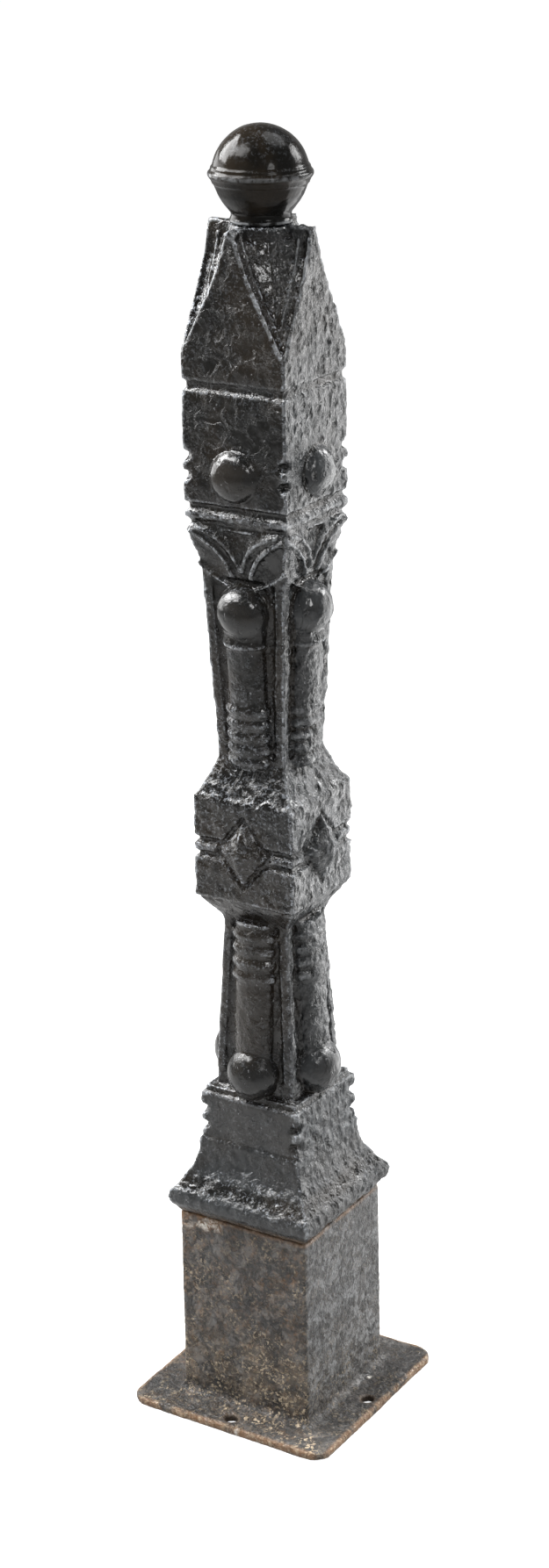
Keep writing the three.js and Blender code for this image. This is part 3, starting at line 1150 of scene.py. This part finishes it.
def blackPaint(name, folded, shine, mirror):
    material, shader, place = newMaterial(name)
    x, y, z = partsOf(place)
    roughSide = times(roughSideOf(x, y), folded)
    surface = newNode(place.id_data, "ShaderNodeNewGeometry")
    upward = between(partsOf(surface.outputs["Normal"])[2], *paint["facingUp"])
    bent = markOn(place, "ridge")
    ridge = between(bent, *paint["ridge"])
    hollow = between(bent, *paint["hollow"], 1, 0)
    ball = markOn(place, "ball")
    plain = without(times(ball, paint["plainBalls"]))

    folds = foldsAt(place, *paint["folds"])
    small = foldsAt(place, *paint["smallFolds"])
    pit = pitsAt(place, *paint["pits"])
    speck = pitsAt(place, *paint["specks"])
    paintedGlint = patchesAt(place, *paint["paintedGlints"])
    brown = patchesAt(place, *paint["browned"])
    bloom = patchesAt(place, *paint["bloom"])
    crinkled = patchesAt(place, *paint["crinkled"])
    scuffsAndGlints = patchesAt(place, *paint["scuffsAndGlints"])
    rusty = patchesAt(place, *paint["rusty"])

    lowDown = between(z, *paint["baseBlock"])
    # painted darker reflection: the rough sides' sheen fades towards the head
    highUp = between(z, *paint["head"])
    layers = paint["layers"]
    shaded = times(roughSide, between(z, *paint["shadedCove"]), layers["shadedCove"])
    coveSheen = times(between(z, *paint["greyCove"]), without(roughSide))
    # painted shade in the groove over the bead
    overBead = times(between(z, *paint["overBead"]), between(z, *paint["underCove"]))
    share = paint["greyShare"]
    # dust and painted sheen: grey on the base block and on the rough sides
    dustAndSheen = plus(times(lowDown, share["base"]), times(roughSide, highUp, share["sides"]))
    dustAndSheen = times(dustAndSheen, without(shaded))
    # painted sheen: lighter grey on the balls and on the cove of the smooth sides
    dustAndSheen = plus(dustAndSheen, times(ball, share["balls"]), times(coveSheen, share["cove"]))
    bloomed = plus(times(bloom, layers["bloom"]), 1 - layers["bloom"])
    # painted shade: the grey is taken out of the hollows and of the groove over the bead
    dustAndSheen = times(dustAndSheen, bloomed, without(hollow), without(overBead))
    # painted shade: the creases and pits go back to deep black, most on the rough sides
    share = paint["darkShare"]
    dark = reckon("MAXIMUM", times(folds["Creases"], share["creases"]), pit)
    dark = times(dark, plus(times(roughSide, share["sides"]), share["rest"]))
    # painted highlights: light glint colour on upward tops, ridges, crinkles, the cap's slopes and
    # the zone from the middle block up the upper shaft
    middleGlintZone = times(between(z, *paint["aboveShaft"]), between(z, *paint["belowFlare"]))
    share = paint["glintShare"]
    paintedGlintMask = plus(
        times(upward, scuffsAndGlints, share["tops"]),
        times(ridge, share["ridges"]),
        times(crinkled, share["crinkles"]),
        times(between(z, *paint["capSlopes"]), upward, share["cap"]),
        times(middleGlintZone, share["middleGlints"]),
        share["rest"],
    )
    paintedGlintMask = reckon("MINIMUM", paintedGlintMask, 1.0)
    paintedGlintMask = times(paintedGlintMask, paintedGlint, folded, plain, without(times(roughSide, 0.6)))
    rustLine = times(between(z, *paint["rustLine"]), rusty)
    colour = blendColour(brown, paint["deep"], paint["brown"])
    # the dust and painted sheen, laid on as grey
    colour = blendColour(dustAndSheen, colour, paint["grey"])
    # the painted shade of creases and pits
    colour = blendColour(dark, colour, paint["deep"])
    colour = blendColour(times(ridge, scuffsAndGlints, layers["worn"]), colour, paint["worn"])
    colour = blendColour(times(speck, folded, layers["specks"]), colour, paint["speck"])
    # the painted glints, laid on as light colour
    colour = blendColour(times(paintedGlintMask, layers["paintedGlints"]), colour, paint["paintedGlint"])
    colour = blendColour(times(rustLine, layers["rust"]), colour, paint["rust"])

    gloss = between(noiseAt(place, *paint["patchyGloss"]), 0.35, 0.66, *shine)
    share = paint["dulling"]
    gloss = plus(gloss, plus(times(dustAndSheen, share["grey"]), times(lowDown, share["base"])))

    share = paint["foldShare"]
    lively = plus(times(roughSide, share["sides"]), times(upward, share["tops"]))
    lively = plus(lively, times(crinkled, share["crinkles"]), share["rest"])
    lively = times(lively, folded, plain)
    height = plus(folds["Height"], times(small["Height"], paint["smallFoldShare"]))
    height = times(height, plus(lively, 0.02))
    share = paint["pitShare"]
    dented = times(pit, folded, plus(times(roughSide, share["sides"]), share["rest"]))
    normal = bumpFrom(reckon("SUBTRACT", height, dented), paint["bump"])
    feed(shader, Base_Color=colour, Roughness=gloss, Normal=normal, Specular_IOR_Level=mirror)
    return material


iron = {
    "dark": (0.016, 0.015, 0.0145, 1),
    "light": (0.15, 0.143, 0.136, 1),
    "brown": (0.075, 0.051, 0.033, 1),
    "rust": (0.30, 0.155, 0.065, 1),
    "tan": (0.50, 0.40, 0.28, 1),
    "white": (0.75, 0.72, 0.66, 1),
    # the grey of the painted sheen on the rough sides
    "grey": (0.17, 0.175, 0.178, 1),
    "smudge": (0.030, 0.029, 0.028, 1),
    "streaks": (60.0, 0.03),  # size, and how wide a crease is
    "smallFolds": (230.0, 0.03),
    "crumbs": (190.0, 0.05, 0.4),  # size, amount and radius
    "chips": (60.0, 0.03, 0.24),
    "lights": (46.0, 0.46, 0.06),  # size, amount and softness, as in the next nine
    "smudges": (120.0, 0.46, 0.06),
    "browned": (40.0, 0.5, 0.16),
    "fineRust": (230.0, 0.4, 0.07),
    "dusty": (14.0, 0.5, 0.14),
    "grains": (300.0, 0.4, 0.035),
    "clusters": (62.0, 0.5, 0.1),
    "scratched": (130.0, 0.4, 0.06),
    "rimRust": (42.0, 0.66, 0.1),
    "peeled": (110.0, 0.45, 0.05),
    "plate": (0.03, 0.012),  # heights in metres: where a zone begins, and where it is full
    "foot": (0.13, 0.02),
    "underBead": (0.190, 0.203),
    "topLine": (0.206, 0.211),
    "rim": (0.108, 0.1135),  # distances in metres, from the middle and from a hole's axis
    "holeEdge": (0.0105, 0.0068),
    "frontCorner": (-0.05, 0.06),  # along x
    "leftOfMiddle": (-0.005, -0.05),
    "ridge": (0.54, 0.64),
    "sideShare": 0.75,  # how much of the rust the rough sides lose
    "layers": {  # how strong each one is
        "brown": 0.6,
        "fineRust": 0.4,
        "bare": 0.8,
        "smudges": 0.9,
        "scratches": 0.25,
        "washed": 0.2,
        "plate": 0.35,
        "rimRust": 0.6,
        "rimTan": 0.5,
        "underBead": 0.85,
        "topLine": 0.45,
        "ridges": 0.2,
        "holes": 0.75,
    },
    "heightShare": {"streaks": 0.45, "small": 0.4, "grains": 0.2, "smudges": 0.12},
    "patchyGloss": (24, 4, 0.6),
    "shine": (0.34, 0.56),
    "bump": 0.0045,
}


def dullIron(name):
    material, shader, place = newMaterial(name)
    x, y, z = partsOf(place)
    roughSide = roughSideOf(x, y)
    smoothSide = without(times(roughSide, iron["sideShare"]))
    reach = reckon("MAXIMUM", reckon("ABSOLUTE", x), reckon("ABSOLUTE", y))
    across = reckon("MINIMUM", reckon("ABSOLUTE", x), reckon("ABSOLUTE", y))
    ridge = between(markOn(place, "ridge"), *iron["ridge"])

    streaks = foldsAt(place, *iron["streaks"])
    small = foldsAt(place, *iron["smallFolds"])
    light = patchesAt(place, *iron["lights"])
    smudge = patchesAt(place, *iron["smudges"])
    brown = patchesAt(place, *iron["browned"])
    fineRust = patchesAt(place, *iron["fineRust"])
    dusty = patchesAt(place, *iron["dusty"])
    clusters = patchesAt(place, *iron["clusters"])
    grains = times(patchesAt(place, *iron["grains"]), clusters)
    grains = reckon("MAXIMUM", grains, pitsAt(place, *iron["crumbs"]))
    scratched = patchesAt(place, *iron["scratched"])
    rimRust = patchesAt(place, *iron["rimRust"])
    peeled = patchesAt(place, *iron["peeled"])
    chip = pitsAt(place, *iron["chips"])

    layers = iron["layers"]
    onPlate = between(z, *iron["plate"])
    # painted sheen: the rough sides go lighter grey, above the plate
    bare = times(roughSide, without(onPlate), plus(times(light, 0.5), 0.5))
    nearFoot = between(z, *iron["foot"])
    washed = times(nearFoot, brown, smoothSide, without(onPlate), layers["washed"])
    nearCorner = between(x, *iron["frontCorner"])
    dust = times(nearFoot, plus(times(nearCorner, 0.7), 0.4))
    dust = times(plus(dust, 0.6), grains, smoothSide)
    dust = times(dust, plus(dusty, 0.25))
    rim = between(reach, *iron["rim"])
    underBead = times(between(z, *iron["underBead"]), between(x, *iron["leftOfMiddle"]), rimRust)
    thinLine = times(between(z, *iron["topLine"]), rimRust)
    offHole = reckon("SUBTRACT", reach, pedestal["holeReach"] * mm)
    fromHole = reckon("SQRT", plus(times(across, across), times(offHole, offHole)))
    nearHole = between(fromHole, *iron["holeEdge"])
    colour = blendColour(light, iron["dark"], iron["light"])
    for mask, shade in (
        (times(brown, smoothSide, layers["brown"]), "brown"),
        (times(fineRust, smoothSide, brown, layers["fineRust"]), "rust"),
        (times(bare, layers["bare"]), "grey"),
        (times(smudge, layers["smudges"]), "smudge"),
        (times(scratched, smoothSide, layers["scratches"]), "light"),
        (washed, "tan"),
        (times(onPlate, layers["plate"]), "smudge"),
        (dust, "tan"),
        (times(rim, rimRust, layers["rimRust"]), "rust"),
        (times(rim, rimRust, fineRust, layers["rimTan"]), "tan"),
        (times(underBead, clusters, layers["underBead"]), "rust"),
        (times(underBead, clusters, peeled), "white"),
        (times(thinLine, layers["topLine"]), "rust"),
        (times(ridge, fineRust, layers["ridges"]), "tan"),
        (times(nearHole, onPlate, layers["holes"]), "brown"),
        (chip, "white"),
    ):
        colour = blendColour(mask, colour, iron[shade])

    gloss = between(noiseAt(place, *iron["patchyGloss"]), 0.3, 0.7, *iron["shine"])
    share = iron["heightShare"]
    height = times(streaks["Height"], share["streaks"])
    height = plus(height, times(small["Height"], share["small"]), times(grains, share["grains"]))
    height = reckon("SUBTRACT", height, times(smudge, share["smudges"]))
    feed(shader, Base_Color=colour, Roughness=gloss, Normal=bumpFrom(height, iron["bump"]))
    return material


# how wrinkled from 0 to 1, the two ends of the roughness, and how much it mirrors
newelBody.data.materials.append(blackPaint("blackPaint", 1.0, (0.06, 0.17), 0.5))
newelFinial.data.materials.append(blackPaint("smoothPaint", 0.07, (0.12, 0.24), 0.13))
newelPedestal.data.materials.append(dullIron("dullIron"))
print("materials made")


# Floor and light

studio = {
    "floor": (0.42, 0.42, 0.42, 1),
    "floorRoughness": 0.8,
    "floorLift": 0.8,  # keeps it pale to the camera, though the post mirrors it darker
    "backdrop": 1.0,
    "horizon": 0.35,
    "zenith": 0.10,
    "daylight": (1.2, 38, (0.25, 0.45, 1.0)),  # strength, how wide in degrees, from where
    "cards": {  # place, aimed at, width, height and watts
        "leftWindow": ((-1.95, -0.26, 2.45), (0, 0, 0.75), 1.45, 1.45, 135),
        "frontWindow": ((-0.9, -1.1, 3.0), (0, 0, 0.7), 1.0, 1.0, 46),
        "rightWindow": ((1.25, 1.85, 2.1), (0, 0, 0.75), 0.9, 0.9, 44),
        "recessWindow": ((2.0, -1.2, 2.2), (0, 0, 1.1), 0.6, 0.6, 14),
        "sideCard": ((0.46, 0.70, 0.60), (0, 0, 0.55), 0.9, 1.2, 10),
        "leftCard": ((-2.0, 0.1, 1.15), (0, 0, 0.8), 1.6, 1.0, 22),
    },
}


def addFloor():
    clearSelection()
    bpy.ops.mesh.primitive_plane_add(size=40, location=(0, 0, 0))
    floor = bpy.context.object
    floor.name = "paleFloor"
    material = bpy.data.materials.new("paleFloor")
    material.use_nodes = True
    shader = material.node_tree.nodes["Principled BSDF"]
    feed(shader, Base_Color=studio["floor"], Roughness=studio["floorRoughness"])
    seen = newNode(material.node_tree, "ShaderNodeLightPath").outputs["Is Camera Ray"]
    lifted = times(seen, studio["floorLift"])
    feed(shader, Emission_Color=(1, 1, 1, 1), Emission_Strength=lifted)
    floor.data.materials.append(material)


def addSky():  # a white backdrop; what the post mirrors is darker and fades upwards
    world = bpy.data.worlds.new("studioSky")
    world.use_nodes = True
    tree = world.node_tree
    upward = partsOf(newNode(tree, "ShaderNodeTexCoord").outputs["Generated"])[2]
    fade = between(upward, 0.05, 0.85, studio["horizon"], studio["zenith"])
    mirrors = feed(tree.nodes["Background"], Color=(1, 1, 1, 1), Strength=fade)
    backdrop = newNode(tree, "ShaderNodeBackground")
    feed(backdrop, Color=(1, 1, 1, 1), Strength=studio["backdrop"])
    chosen = newNode(tree, "ShaderNodeMixShader")
    give(chosen.inputs[0], newNode(tree, "ShaderNodeLightPath").outputs["Is Camera Ray"])
    give(chosen.inputs[1], mirrors.outputs[0])
    give(chosen.inputs[2], backdrop.outputs[0])
    feed(tree.nodes["World Output"], Surface=chosen.outputs[0])
    bpy.context.scene.world = world


def addCard(name):
    place, aim, width, height, watts = studio["cards"][name]
    clearSelection()
    bpy.ops.object.light_add(type="AREA", location=place)
    card = bpy.context.object
    card.name = name
    card.data.shape = "RECTANGLE"
    card.data.size = width
    card.data.size_y = height
    card.data.energy = watts
    towards = Vector(aim) - Vector(place)
    card.rotation_euler = towards.to_track_quat("-Z", "Y").to_euler()
    card.visible_camera = False


def addDaylight():
    strength, wide, fromWhere = studio["daylight"]
    clearSelection()
    bpy.ops.object.light_add(type="SUN", location=(0, 0, 3))
    daylight = bpy.context.object
    daylight.name = "softDaylight"
    daylight.data.energy = strength
    daylight.data.angle = math.radians(wide)
    daylight.rotation_euler = (-Vector(fromWhere)).to_track_quat("-Z", "Y").to_euler()


addFloor()
addSky()
addDaylight()
for cardName in studio["cards"]:
    addCard(cardName)
bpy.context.scene.view_settings.view_transform = "Standard"
print("floor and light placed")


# What stands for what: each piece hangs under the root body, and its CAD part is hidden

for piece, node, slotName in (
    (newelBody, "post_body", "black_enamel"),
    (newelPedestal, "pedestal", "dull_iron"),
    (newelFinial, "ball_finial", "black_enamel"),
):
    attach(piece, "root")
    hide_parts(node)
